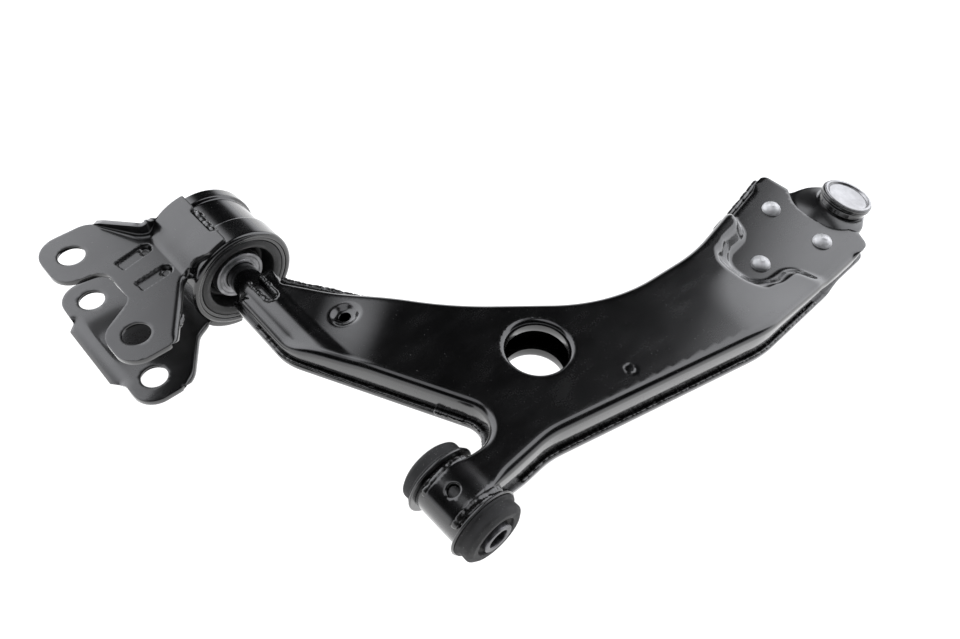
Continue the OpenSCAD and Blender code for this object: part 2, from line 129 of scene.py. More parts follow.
def distance_to(points, loop):
    a, ab = loop, np.roll(loop, -1, 0) - loop
    length2 = np.maximum((ab**2).sum(1), 1e-12)
    out = np.empty(len(points))
    for i in range(0, len(points), 1500):
        p = points[i : i + 1500, None, :] - a
        t = np.clip((p * ab).sum(2) / length2, 0, 1)
        out[i : i + 1500] = np.sqrt((((p - t[..., None] * ab) ** 2).sum(2)).min(1))
    return out


def step_share(points, floor, rim):
    """0 inside floor, 1 outside rim, and the way from one to the other in between."""
    down = np.where(inside(points, floor), 0, distance_to(points, floor))
    up = np.where(inside(points, rim), distance_to(points, rim), 0)
    return down / (down + up + 1e-9)


# ---------------------------------------------------------------- meshes


def make_object(name, points, faces, sharp=38):
    mesh = bpy.data.meshes.new(name)
    mesh.from_pydata((np.asarray(points, float) * MM).tolist(), [], [[int(i) for i in f] for f in faces])
    mesh.validate()
    obj = bpy.data.objects.new(name, mesh)
    bpy.context.scene.collection.objects.link(obj)
    shade(obj, sharp)
    return obj


def shade(obj, sharp):
    for p in obj.data.polygons:
        p.use_smooth = True
    obj.data.set_sharp_from_angle(angle=math.radians(sharp))
    obj.data.update()


def apply_modifiers(obj, sharp=38):
    dg = bpy.context.evaluated_depsgraph_get()
    obj.data = bpy.data.meshes.new_from_object(obj.evaluated_get(dg))
    obj.modifiers.clear()
    shade(obj, sharp)
    return obj


def thicken(obj, thickness, bevel=0.45, sharp=38):
    """Gives an open skin its thickness on the inner side, and softens its cut edges."""
    m = obj.modifiers.new("thickness", "SOLIDIFY")
    m.thickness = thickness * MM
    m.offset = -1
    if bevel:
        b = obj.modifiers.new("edges", "BEVEL")
        b.width = bevel * MM
        b.segments = 2
        b.limit_method = "ANGLE"
        b.angle_limit = math.radians(60)
    return apply_modifiers(obj, sharp)


def pressed_sheet(
    name, corners, height, edge, thickness, grow=0.0, holes=(), fine=None, grid=3.0, flip=False, bevel=0.45,
    step=2.5
):
    """Pressed sheet as a height over the plane, with folded edges.

    height(points) is the outer face's level.
    edge(points) is (fold radius, level of the fold's free edge, inset).
    A hole is (x, y, [(radius, drop), ...]) from its mouth inwards.
    fine(points) says where the mesh is twice as fine.
    """
    insets = np.arange(0, 13.0, 1.0)
    table = np.array([ring(corners, grow - i, step) for i in insets])
    n = table.shape[1]
    radius, free_level, inset = edge(table[0])
    rows = np.arange(n)

    def at(depth):
        k = np.clip(depth, 0, insets[-1] - 1e-6)
        lower = k.astype(int)
        f = (k - lower)[:, None]
        return table[lower, rows] * (1 - f) + table[lower + 1, rows] * f

    folded = radius > 0.25
    inner = at(inset + radius)
    z_in = height(inner)
    side = np.where(free_level > z_in, -1.0, 1.0)
    points = [[p[0], p[1], z] for p, z in zip(inner, z_in)]
    levels = [(at(inset), free_level)]
    for a in np.radians([0, 15, 30, 45, 60, 75]):
        levels.append((at(inset + radius * (1 - math.cos(a))), z_in - side * radius * (1 - math.sin(a))))
    index = []
    for xy, z in levels:
        row = np.arange(n)
        for s in range(n):
            if folded[s]:
                row[s] = len(points)
                points.append([xy[s, 0], xy[s, 1], z[s]])
        index.append(row)
    index.append(np.arange(n))

    faces = []

    def strip(low, high):
        m = len(low)
        for s in range(m):
            quad = [low[s], low[(s + 1) % m], high[(s + 1) % m], high[s]]
            quad = [q for k, q in enumerate(quad) if q not in quad[:k]]
            if len(quad) > 2:
                faces.append(quad)

    for low, high in zip(index[:-1], index[1:]):
        strip(low, high)

    flat_loop = inner
    loops, mouths = [list(range(n))], []
    for hx, hy, profile in holes:
        count = max(20, int(2 * math.pi * profile[0][0] / 1.6))
        turn = np.linspace(0, 2 * math.pi, count, endpoint=False)
        circle = np.stack([np.cos(turn), np.sin(turn)], 1)
        level = height(np.array([[hx, hy]]) + circle * profile[0][0])
        rings = []
        for r, drop in profile:
            rings.append(np.arange(len(points), len(points) + count))
            points += [[hx + r * c[0], hy + r * c[1], z - drop] for c, z in zip(circle, level)]
        loops.append(list(rings[0]))
        mouths.append((hx, hy, profile[0][0]))
        for outer, deeper in zip(rings[:-1], rings[1:]):
            strip(outer, deeper)

    low, high = flat_loop.min(0), flat_loop.max(0)
    half = grid / 2
    gx, gy = np.meshgrid(np.arange(low[0], high[0], half), np.arange(low[1], high[1], half * 0.87))
    odd = np.arange(gx.shape[0])[:, None] % 2
    gx = gx + odd * half / 2
    coarse = ((np.arange(gx.shape[1])[None, :] % 2 == 0) & (odd == 0)).ravel()
    candidates = np.stack([gx.ravel(), gy.ravel()], 1)
    keep = inside(candidates, flat_loop)
    candidates, coarse = candidates[keep], coarse[keep]
    keep = coarse | (fine(candidates) if fine else False)
    candidates = candidates[keep]
    keep = distance_to(candidates, flat_loop) > 0.45 * grid
    for hx, hy, r in mouths:
        keep &= np.hypot(candidates[:, 0] - hx, candidates[:, 1] - hy) > r + 0.8
    candidates = candidates[keep]

    used = [i for loop in loops for i in loop]
    local = {g: k for k, g in enumerate(used)}
    flat = [points[i][:2] for i in used] + candidates.tolist()
    borders = [[local[loop[k]], local[loop[(k + 1) % len(loop)]]] for loop in loops for k in range(len(loop))]
    first = len(points)
    points += [[p[0], p[1], z] for p, z in zip(candidates, height(candidates))]
    owner = used + list(range(first, len(points)))
    verts, _, tris, origin, _, _ = delaunay_2d_cdt([Vector(p) for p in flat], borders, [], 0, 1e-6, True)
    xy = np.array([v[:] for v in verts])
    tri = np.array(tris)
    centre = xy[tri].mean(1)
    side_a, side_b = xy[tri[:, 1]] - xy[tri[:, 0]], xy[tri[:, 2]] - xy[tri[:, 0]]
    slivers = np.abs(side_a[:, 0] * side_b[:, 1] - side_a[:, 1] * side_b[:, 0]) < 1e-3
    ok = inside(centre, flat_loop) & ~slivers
    for hx, hy, r in mouths:
        ok &= np.hypot(centre[:, 0] - hx, centre[:, 1] - hy) > r * 0.998
    for t in tri[ok]:
        a, b, c = xy[t]
        if (b[0] - a[0]) * (c[1] - a[1]) - (b[1] - a[1]) * (c[0] - a[0]) < 0:
            t = t[::-1]
        faces.append([owner[origin[i][0]] for i in t])

    points = np.array(points)
    if flip:
        points[:, 2] *= -1
        faces = [f[::-1] for f in faces]
    obj = make_object(name, points, faces)
    return thicken(obj, thickness, bevel) if thickness else obj


def lathe(name, profile, origin=(0, 0, 0), axis=(1, 0, 0), steps=96, closed=True, sharp=38):
    """Turned piece from (distance along the axis, radius). A closed profile runs all round the section."""
    rot = Vector((0, 0, 1)).rotation_difference(Vector(axis).normalized()).to_matrix()
    rot = np.array(rot)
    points, rows = [], []
    turn = np.linspace(0, 2 * math.pi, steps, endpoint=False)
    for along, r in profile:
        if r < 1e-6:
            rows.append([len(points)] * steps)
            points.append([0, 0, along])
            continue
        rows.append(list(range(len(points), len(points) + steps)))
        for a in turn:
            points.append([r * math.cos(a), r * math.sin(a), along])
    faces = []
    pairs = list(zip(rows, rows[1:] + rows[:1])) if closed else list(zip(rows[:-1], rows[1:]))
    for low, high in pairs:
        for k in range(steps):
            quad = [low[k], low[(k + 1) % steps], high[(k + 1) % steps], high[k]]
            quad = [q for j, q in enumerate(quad) if q not in quad[:j]]
            if len(quad) > 2:
                faces.append(quad)
    points = np.array(points) @ rot.T + np.array(origin, float)
    obj = make_object(name, points, faces, sharp)
    volume = signed_volume(obj)
    if volume < 0:
        obj.data.flip_normals()
    return obj


def signed_volume(obj):
    total = 0.0
    v = obj.data.vertices
    for p in obj.data.polygons:
        ids = p.vertices
        for k in range(1, len(ids) - 1):
            total += v[ids[0]].co.dot(v[ids[k]].co.cross(v[ids[k + 1]].co))
    return total


def rounded(corners, step=0.8):
    """Closed profile for lathe, from corners (along, radius, rounding) in either direction."""
    c = np.array(corners, float)
    nxt = np.roll(c, -1, 0)
    area = (c[:, 0] * nxt[:, 1] - nxt[:, 0] * c[:, 1]).sum()
    return ring(corners if area > 0 else corners[::-1], 0.0, step, 3)


def ripple(rng, length, pitch):
    """Edges of weld puddles along a run, a little uneven."""
    cuts = [0.0]
    while cuts[-1] < length:
        cuts.append(cuts[-1] + pitch * rng.uniform(0.65, 1.4))
    return np.array(cuts)


def weld_bead(name, path, width, seed, pitch=3.0, flat=0.75):
    """Lumpy bead along a path: overlapping puddles, with uneven width and small pits."""
    rng = np.random.default_rng(seed)
    path = np.asarray(path, float)
    seg = np.linalg.norm(np.diff(path, axis=0), axis=1)
    at = np.concatenate([[0], np.cumsum(seg)])
    count = max(6, int(at[-1] / 0.7))
    s = np.linspace(0, at[-1], count)
    line = np.stack([np.interp(s, at, path[:, k]) for k in range(3)], 1)
    cuts = ripple(rng, at[-1], pitch)
    size = rng.uniform(0.78, 1.22, len(cuts) + 1)
    shift = rng.uniform(-0.22, 0.22, (len(cuts) + 1, 2))
    which = np.clip(np.searchsorted(cuts, s, "right") - 1, 0, len(cuts) - 2)
    share = (s - cuts[which]) / (cuts[which + 1] - cuts[which])
    puddle = np.sqrt(np.clip(1 - (2 * share - 0.85) ** 2, 0.0, 1)) * 0.2 + 0.84
    radius = width / 2 * puddle * (size[which] * (1 - share) + size[which + 1] * share)
    end = np.minimum(s, at[-1] - s) / (0.6 * width)
    radius = radius * np.sqrt(np.clip(end * (2 - np.clip(end, 0, 1)), 0.02, 1))
    drift = shift[which] * (1 - share)[:, None] + shift[which + 1] * share[:, None]
    tangent = np.gradient(line, axis=0)
    tangent /= np.linalg.norm(tangent, axis=1)[:, None]
    up = np.array([0, 0, 1.0]) - tangent * tangent[:, 2:3]
    up /= np.maximum(np.linalg.norm(up, axis=1), 1e-6)[:, None]
    sidewise = np.cross(tangent, up)
    around = 12
    turn = np.linspace(0, 2 * math.pi, around, endpoint=False)
    grain = rng.normal(0, 0.045, (count, around))
    points, faces = [], []
    for i in range(count):
        for k, a in enumerate(turn):
            r = radius[i] * (1 + grain[i, k])
            p = line[i] + sidewise[i] * (r * math.cos(a) + drift[i, 0] * width * 0.4)
            points.append(p + up[i] * (r * flat * math.sin(a) + drift[i, 1] * width * 0.3))
    for i in range(count - 1):
        for k in range(around):
            j = (k + 1) % around
            faces.append([i * around + k, (i + 1) * around + k, (i + 1) * around + j, i * around + j])
    faces.append(list(range(around)))
    faces.append([(count - 1) * around + k for k in range(around - 1, -1, -1)])
    obj = make_object(name, points, faces, 60)
    if signed_volume(obj) < 0:
        obj.data.flip_normals()
    return obj


# ---------------------------------------------------------------- materials


class Nodes:
    """Short way to lay out a material's nodes. Lengths in it are metres."""

    def __init__(self, name):
        self.material = bpy.data.materials.new(name)
        self.material.use_nodes = True
        self.tree = self.material.node_tree
        self.shader = self.tree.nodes["Principled BSDF"]
        self.where = self.add("ShaderNodeTexCoord").outputs["Object"]

    def add(self, kind, **settings):
        node = self.tree.nodes.new(kind)
        for key, value in settings.items():
            setattr(node, key, value)
        return node

    def link(self, a, b):
        self.tree.links.new(a, b)

    def noise(self, size, detail=3.0, rough=0.55, stretch=None):
        """Noise with features of about that size, in metres."""
        node = self.add("ShaderNodeTexNoise")
        node.inputs["Scale"].default_value = 1.0 / size
        node.inputs["Detail"].default_value = detail
        node.inputs["Roughness"].default_value = rough
        source = self.where
        if stretch:
            mapping = self.add("ShaderNodeMapping")
            mapping.inputs["Scale"].default_value = stretch
            self.link(source, mapping.inputs["Vector"])
            source = mapping.outputs["Vector"]
        self.link(source, node.inputs["Vector"])
        return node.outputs["Fac"]

    def spread(self, value, low, high, to_low, to_high):
        node = self.add("ShaderNodeMapRange")
        node.clamp = True
        for key, v in zip(("From Min", "From Max", "To Min", "To Max"), (low, high, to_low, to_high)):
            node.inputs[key].default_value = v
        self.link(value, node.inputs["Value"])
        return node.outputs["Result"]

    def mix(self, share, a, b):
        node = self.add("ShaderNodeMix", data_type="RGBA")
        for socket, value in ((node.inputs[6], a), (node.inputs[7], b)):
            if hasattr(value, "is_output"):
                self.link(value, socket)
            else:
                socket.default_value = (*value, 1)
        self.link(share, node.inputs[0])
        return node.outputs[2]

    def maths(self, operation, a, b):
        node = self.add("ShaderNodeMath", operation=operation)
        for socket, value in zip(node.inputs, (a, b)):
            if hasattr(value, "is_output"):
                self.link(value, socket)
            else:
                socket.default_value = value
        return node.outputs[0]

    def bump(self, height, strength, distance, after=None):
        node = self.add("ShaderNodeBump")
        node.inputs["Strength"].default_value = strength
        node.inputs["Distance"].default_value = distance
        self.link(height, node.inputs["Height"])
        if after:
            self.link(after, node.inputs["Normal"])
        return node.outputs["Normal"]

    def finish(self, color, rough, normal, **uniform):
        self.link(color, self.shader.inputs["Base Color"])
        self.link(rough, self.shader.inputs["Roughness"])
        self.link(normal, self.shader.inputs["Normal"])
        for key, value in uniform.items():
            self.shader.inputs[key.replace("_", " ")].default_value = value
        return self.material


def black_coat(name="black_coat", dark=0.002, light=0.005, rough=(0.2, 0.3), peel=0.06, gloss=0.06):
    """Glossy dip coat on pressed steel: orange peel, faint waviness, dust specks and handling marks."""
    n = Nodes(name)
    blotch = n.spread(n.noise(0.03, 4), 0.35, 0.7, 0, 1)
    color = n.mix(blotch, (dark, dark, dark * 1.05), (light, light, light * 1.04))
    specks = n.spread(n.noise(0.0011, 1), 0.735, 0.76, 0, 1)
    sparse = n.spread(n.noise(0.012, 2), 0.52, 0.66, 0, 1)
    color = n.mix(n.maths("MULTIPLY", specks, sparse), color, (0.11, 0.11, 0.105))
    smudge = n.spread(n.noise(0.018, 5, 0.65, (1, 0.35, 1)), 0.42, 0.72, 0, 1)
    grain = n.noise(0.0009, 2)
    value = n.spread(smudge, 0, 1, *rough)
    value = n.maths("ADD", value, n.spread(grain, 0.3, 0.7, -0.02, 0.03))
    normal = n.bump(n.noise(0.022, 2), 0.12, 0.0006)
    normal = n.bump(n.noise(0.0013, 3, 0.6), peel, 0.00012, normal)
    return n.finish(color, value, normal, Metallic=0.0, IOR=1.5, Coat_Weight=1.0, Coat_Roughness=gloss,
                    Coat_IOR=1.5)


def weld_coat():
    """The same coat over weld beads, with spatter grain."""
    n = Nodes("weld_coat")
    blotch = n.spread(n.noise(0.004, 4), 0.35, 0.7, 0, 1)
    color = n.mix(blotch, (0.003, 0.003, 0.003), (0.012, 0.0115, 0.011))
    value = n.spread(n.noise(0.002, 4), 0.3, 0.7, 0.14, 0.35)
    normal = n.bump(n.noise(0.0012, 4, 0.65), 0.4, 0.0003)
    return n.finish(color, value, normal, Metallic=0.0, IOR=1.5, Coat_Weight=1.0, Coat_Roughness=0.08,
                    Coat_IOR=1.5)


def rubber(name, dark, light, rough=(0.55, 0.8)):
    """Moulded rubber: bloom in soft patches, fine grain, small nicks."""
    n = Nodes(name)
    bloom = n.spread(n.noise(0.008, 5, 0.65), 0.38, 0.68, 0, 1)
    color = n.mix(bloom, (dark, dark, dark * 1.02), (light, light, light * 1.02))
    specks = n.spread(n.noise(0.0008, 1), 0.7, 0.76, 0, 1)
    color = n.mix(specks, color, (0.13, 0.13, 0.125))
    value = n.spread(n.noise(0.004, 4), 0.3, 0.7, *rough)
    normal = n.bump(n.noise(0.0007, 3, 0.6), 0.35, 0.0001)
    normal = n.bump(n.noise(0.006, 3), 0.25, 0.0003, normal)
    return n.finish(color, value, normal, Metallic=0.0, Specular_IOR_Level=0.45)


def metal(name, dark, light, rough, grain=0.0012, stretch=None, bump=0.12, stain=(0.35, 0.33, 0.3),
          stained=0.15):
    """Bare or zinc-plated metal: tool marks along stretch, faint stains and small scratches."""
    n = Nodes(name)
    tone = n.spread(n.noise(0.006, 5, 0.6), 0.35, 0.7, 0, 1)
    color = n.mix(tone, dark, light)
    spots = n.spread(n.noise(0.0035, 4, 0.7), 0.6, 0.75, 0, stained)
    color = n.mix(spots, color, stain)
    marks = n.noise(grain, 3, 0.6, stretch)
    value = n.maths("ADD", n.spread(marks, 0.3, 0.7, *rough),
                    n.spread(n.noise(0.009, 4), 0.35, 0.7, -0.03, 0.05))
    normal = n.bump(marks, bump, 0.00012)
    return n.finish(color, value, normal, Metallic=1.0)


COAT = black_coat()
COAT_SATIN = black_coat("black_satin", 0.003, 0.007, (0.28, 0.4), 0.12, 0.14)
WELD = weld_coat()
BUSH_RUBBER = rubber("bush_rubber", 0.014, 0.03)
REAR_RUBBER = rubber("rear_rubber", 0.006, 0.015, (0.32, 0.5))
BOOT_RUBBER = rubber("boot_rubber", 0.014, 0.026, (0.38, 0.55))
CAST = metal("cast_core", (0.2, 0.2, 0.205), (0.36, 0.36, 0.37), (0.38, 0.6), 0.0008, None, 0.35)
STEEL = metal("plain_steel", (0.09, 0.09, 0.095), (0.19, 0.19, 0.2), (0.3, 0.45), 0.0006, (0.15, 1, 1), 0.2,
              (0.3, 0.3, 0.3))
BRIGHT = metal("bright_steel", (0.34, 0.34, 0.345), (0.44, 0.44, 0.45), (0.3, 0.4), 0.0007, None, 0.06,
               stained=0.04)
RIVET = metal("rivet_steel", (0.66, 0.665, 0.67), (0.8, 0.8, 0.81), (0.55, 0.68), 0.0009, None, 0.25,
              stained=0.1)
POLYMER = rubber("seat_polymer", 0.55, 0.66, (0.35, 0.5))


def put(obj, body, material, slot, *nodes):
    """Gives a piece its body and material, and says which CAD nodes it stands for and hides them. Its slot
    argument is not used.
    """
    obj.data.materials.clear()
    obj.data.materials.append(material)
    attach(obj, body)
    if nodes:
        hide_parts(*nodes)
    return obj


# ---------------------------------------------------------------- arm pressings

SHEET = 3.0
EYE_R = 19.2
WRAP_R = EYE_R + SHEET
SADDLE_R = 14.0
HOLE = (-40.0, 98.0)
DRAIN = (-140.5, 26.0)
PLUG = (0.0, -6.5)
MARK = (9.0, 129.0)
RIVETS = [(-24.0, 328.0), (20.0, 328.0), (4.0, 275.0)]
HOUSING_R = 36.8
REAR_X = -246.4

ARM_BODY = [
    [46.5, 222, 90], [43.5, 351, 8], [31, 358, 5], [-8, 338, 28], [-29, 357, 3], [-51, 356, 5],
    [-30, 240, 140],
    [-36, 160, 120], [-104.5, 76, 250], [-191, 14, 4], [-205, 13.5, 2], [-205, 4.6, 1], [-181, 4.2, 4],
    [-181, -4.2, 4], [-205, -4.6, 1], [-205, -15, 4], [-144, -16, 40], [-12, 51, 17],
]
BAY_FLOOR = [[-14, 258, 13], [15, 258, 13], [16, 290, 19], [80, 318, 1], [80, 420, 1], [-90, 420, 1],
             [-90, 326, 1], [-17.5, 292, 20]]
LEG_FLOOR = [[-240, -60, 1], [-166, -60, 1], [-148, 5, 12], [-176, 36, 10], [-194, 80, 1], [-240, 80, 1]]
LEG_RIM = [[-240, -60, 1], [-106, -60, 1], [-87, 5, 20], [-118, 60, 20], [-140, 92, 1], [-240, 92, 1]]


def arm_outline(strip_end, half=10.6):
    """The arm's outline, drawn out into the strip that wraps over the front eye."""
    return [[-11.6, 14, 30], [-half, strip_end, 0.8], [half + 0.4, strip_end, 0.8], [12.2, 14, 30],
            [9.5, 60, 60]] + ARM_BODY


def shell_height(top, clamp, leg, ledge, dimple):
    """Level of a pressing's outer face. The lower pressing uses it upside down."""
    bay_floor = ring(BAY_FLOOR)
    leg_floor, leg_rim = ring(LEG_FLOOR), ring(LEG_RIM)

    def height(p):
        x, y = p[:, 0], p[:, 1]
        away = np.where(inside(p, bay_floor), 0, distance_to(p, bay_floor))
        ramp = 12.5 + 4 * smooth((262 - y) / 12) - 2 * smooth((-12 - x) / 8)
        fall = 0.78 * smooth((y - 205) / 95) * smooth((x + 8) / 50)
        z = clamp + (top - clamp) * (1 - fall) * smooth(away / ramp)
        saddle = np.sqrt(np.maximum(SADDLE_R**2 - y**2, 0))
        low = np.where(y < 0, smooth_max(saddle, np.full_like(y, ledge), 2.0),
                       smooth_max(saddle, np.full_like(y, leg), 1.2))
        share = smooth(step_share(p, leg_floor, leg_rim))
        z = np.where(x < -90, low + (z - low) * share, z)
        arch = np.sqrt(np.maximum(WRAP_R**2 - y**2, 0.5))
        over_eye = (np.abs(x) < 30) & (y < 40)
        z = np.where(over_eye & (y >= 0), smooth_max(z, arch, 2.0), np.where(over_eye, arch, z))
        if dimple:
            away = np.hypot(x - DRAIN[0], y - DRAIN[1])
            z = z - 2.6 * (1 - smooth((away - 4.8) / 6.0))
            away = np.hypot(x - MARK[0], y - MARK[1])
            z = z - 0.35 * np.exp(-(((away - 3.4) / 0.5) ** 2))
        return z

    return height


def near_feature(p):
    """Where a pressing needs a finer mesh."""
    x, y = p[:, 0], p[:, 1]
    bay = (y > 234) & (y < 345) & (x < 44)
    mark = np.hypot(x - MARK[0], y - MARK[1]) < 6
    hole = np.hypot(x - HOLE[0], y - HOLE[1]) < 28
    return bay | (x < -106) | (y < 24) | mark | hole


def shell_edge(height, fold, free_level):
    """Folded edge all round, running out at the neck of the eye, the leg's mouth and the clamped end."""

    def edge(p):
        x, y = p[:, 0], p[:, 1]
        neck = np.where(np.abs(x) < 25, smooth((y - 2) / 24), 1.0)
        mouth = np.where(x < -193, smooth((np.abs(y) - 12) / 3) * smooth((x + 204) / 8), 1.0)
        mouth = np.where((x < -170) & (np.abs(y) < 8), 0.0, mouth)
        end = np.where(y > 320, 1 - smooth((y - 334) / 10), 1.0)
        share = neck * mouth * end
        z = height(p)
        free = free_level(p)
        radius = np.minimum(fold, np.maximum(z - free - 0.5, 0.3)) * share
        radius = np.where(share < 0.06, 0, radius)
        return radius, z + (free - z) * share, np.zeros(len(p))

    return edge


def fillet(r, rounding, depth):
    """Hole with a rounded mouth: radii and drops from the mouth down."""
    profile = [(r + rounding * (1 - math.sin(a)), rounding * (1 - math.cos(a)))
               for a in np.radians([0, 18, 36, 54, 72, 90])]
    return profile + [(r, depth)]


def lap_level(p):
    """Level of the lower pressing's free edge, which laps the upper pressing's wall."""
    x, y = p[:, 0], p[:, 1]
    right = smooth((x - 0.08 * y + 2) / 8) * smooth((y - 20) / 20)
    far = smooth((y - 0.9 * (x + 205) + 10) / 20) * (1 - right) * np.where(x < 0, 1, 0)
    return 0.0 - 4.0 * right + 2.5 * far


upper_height = shell_height(19.0, 8.0, 12.0, 2.5, True)
upper = pressed_sheet(
    "upper_shell", arm_outline(-19.2), upper_height,
    shell_edge(upper_height, 5.0, lambda p: np.full(len(p), -4.0)), SHEET,
    holes=[(*HOLE, fillet(20.0, 3.7, 9.0)), (*DRAIN, fillet(3.8, 0.5, 1.4)), (*PLUG, fillet(3.6, 1.2, 1.6))],
    fine=near_feature, grid=2.6,
)
put(upper, "arm", COAT, "black_coat", "upper_shell")

lower_outline = ring(arm_outline(-8.3), 2.9)
lower_pan = shell_height(18.0, 6.0, 13.5, 2.5, False)


def lower_height(p):
    """Dished: a flat flange all round, and walls that slope in from it to the floor."""
    x, y = p[:, 0], p[:, 1]
    neck = smooth((x + 45) / 25) * (1 - smooth((y - 45) / 40))
    slope = smooth((distance_to(p, lower_outline) - 3.0) / (11.5 - 8 * neck))
    flange = SHEET - lap_level(p)
    z = lower_pan(p)
    dished = np.minimum(flange, z) + np.maximum(z - flange, 0) * slope
    keep = (np.where(np.abs(x) < 25, smooth((y - 4) / 20), 1.0)
            * np.where(x < -193, smooth((x + 205) / 10), 1.0))
    return z + (dished - z) * keep


def lower_edge(p):
    return np.zeros(len(p)), lower_height(p), 2.2 * smooth((p[:, 1] - 296) / 25) * (p[:, 0] > 0)


lower = pressed_sheet(
    "lower_shell", arm_outline(-8.3), lower_height, lower_edge, SHEET, grow=2.9,
    holes=[(*HOLE, fillet(20.0, 3.7, 9.0))], flip=True,
    fine=lambda p: near_feature(p) | (distance_to(p, lower_outline) < 18),
)
put(lower, "arm", COAT, "black_coat", "lower_shell")


def along_edge(grow, keep, level):
    """Runs of the arm's outline where keep(points) holds, as 3-D paths."""
    p = ring(arm_outline(-19.2), grow, 1.5)
    ok = keep(p)
    start = int(np.argmin(ok)) if not ok.all() else 0
    p, ok = np.roll(p, -start, 0), np.roll(ok, -start)
    runs, run = [], []
    for q, good in zip(p, ok):
        if good:
            run.append(q)
        elif run:
            runs.append(np.array(run))
            run = []
    if run:
        runs.append(np.array(run))
    return [np.column_stack([r, level(r)]) for r in runs if len(r) > 4]


def seam(name, keep, lift, width, seed, pitch=3.0, out=1.2):
    for k, path in enumerate(along_edge(out, keep, lambda p: lap_level(p) + lift)):
        bead = weld_bead(f"{name}_{k}", path, width, seed + k, pitch)
        put(bead, "arm", WELD, "weld_black", "shell_seam_weld")


seam("seam_far", lambda p: (p[:, 1] > 0.7 * (p[:, 0] + 205) + 8) & (p[:, 1] < 270) & (p[:, 0] < -28), 0.8,
     4.0, 11)
seam("seam_leg", lambda p: (p[:, 1] > 10) & (p[:, 0] > -196) & (p[:, 0] < -112), 7.0, 4.4, 13, 4.0, 1.7)
seam("seam_end", lambda p: (p[:, 1] >= 278) & (p[:, 1] < 350) & (p[:, 0] < -28), 3.2, 3.6, 15, 7.0)
seam("seam_near",
     lambda p: (p[:, 1] < 0.7 * (p[:, 0] + 150) + 5) & (p[:, 0] > -196) & (p[:, 0] < -52) & (p[:, 1] < 60),
     0.3, 2.5, 21, 4.5)
seam("seam_throat", lambda p: (p[:, 0] > -58) & (p[:, 0] < -10) & (p[:, 1] > 27) & (p[:, 1] < 60), 0.9, 4.4,
     31, 5.0)
seam("seam_right", lambda p: (p[:, 0] > 6) & (p[:, 1] > 34) & (p[:, 1] < 288), 0.2, 2.6, 41, 4.0)

# ---------------------------------------------------------------- front bush


def on_eye(angles, x, r):
    a = np.radians(angles)
    return np.column_stack([np.broadcast_to(x, a.shape), r * np.cos(a), r * np.sin(a)])


eye_tube = lathe("front_eye", rounded([(-17, 16.6, 0.4), (-17, EYE_R, 0.6), (17, EYE_R, 0.6),
                                       (17, 16.6, 0.4)]))
put(eye_tube, "arm", COAT, "black_coat", "front_bush_tube")
for side, seed in ((-1, 51), (1, 61)):
    for k, (a0, a1, out, width) in enumerate([(36, 150, 12.4, 5.6), (58, 138, 14.6, 3.6),
                                              (244, 318, 13.0, 4.2)]):
        angles = np.linspace(a0, a1, 50)
        path = on_eye(angles, side * out, EYE_R + (1.2 if k == 0 else 0.4))
        bead = weld_bead(f"eye_weld_{'front' if side > 0 else 'rear'}_{k}", path, width, seed + k, 6.5, 0.55)
        put(bead, "arm", WELD, "weld_black", "front_bush_tube_weld")

for side, word in ((1, "front"), (-1, "rear")):
    shell = lathe(
        f"bush_flange_{word}",
        rounded([(side * a, r, q) for a, r, q in
                 [(0.3, 15.4, 0.2), (0.3, 16.6, 0.2), (17, 16.6, 0.2), (17, 23.1, 0.6), (18.6, 23.3, 0.7),
                  (18.6, 15.4, 0.2)]]),
    )
    put(shell, "arm", COAT_SATIN, "bush_shell", f"front_bush_sleeve_{word}")
    cap = lathe(
        f"bush_rubber_{word}",
        rounded([(side * a, r, q) for a, r, q in
                 [(0.3, 9.85, 0.1), (0.3, 15.4, 0.1), (18.7, 15.4, 0.1), (18.7, 22.4, 0.5), (19.9, 22.0, 0.7),
                  (20.7, 20.3, 0.8), (26.6, 20.5, 2.0), (28.9, 17.2, 1.6), (28.6, 13.4, 0.7),
                  (26.6, 12.9, 0.8),
                  (26.2, 10.6, 0.6), (27.0, 9.85, 0.1)]], 0.5),
    )
    put(cap, "arm", BUSH_RUBBER, "bush_rubber", f"front_bush_rubber_{word}")

inner_sleeve = lathe("inner_sleeve",
                     rounded([(-30.4, 6.4, 0.5), (-30.4, 9.8, 0.5), (30.4, 9.8, 0.5), (30.4, 6.4, 0.5)]))
put(inner_sleeve, "front_sleeve", STEEL, "plain_steel", "front_bush_inner_sleeve")

# ---------------------------------------------------------------- rear bush

PIN_R = 10.5
CORE_END = REAR_X + 23.0
pin = lathe(
    "rear_pin",
    [(REAR_X - 32, 0), (REAR_X - 32, 12.8), (REAR_X - 31.2, 13.8), (REAR_X - 29, 14), (REAR_X - 29, PIN_R),
     (REAR_X + 20, PIN_R), (REAR_X + 24, PIN_R - 0.3), (REAR_X + 27, PIN_R), (-139, PIN_R), (-138, PIN_R - 1),
     (-138, 0)],
    closed=False,
)
put(pin, "arm", COAT, "black_coat", "rear_pin")
slot_turn = np.radians(np.linspace(90, -90, 16))
slot_path = np.vstack([[[-204, 4.4]], np.column_stack([-184 + 4.4 * np.cos(slot_turn),
                                                       4.4 * np.sin(slot_turn)]), [[-204, -4.4]]])
slot_path = np.column_stack([slot_path, np.sqrt(SADDLE_R**2 - slot_path[:, 1] ** 2) - 0.4])
put(weld_bead("pin_weld", slot_path, 3.2, 71, 2.4), "arm", WELD, "weld_black", "rear_pin_weld")

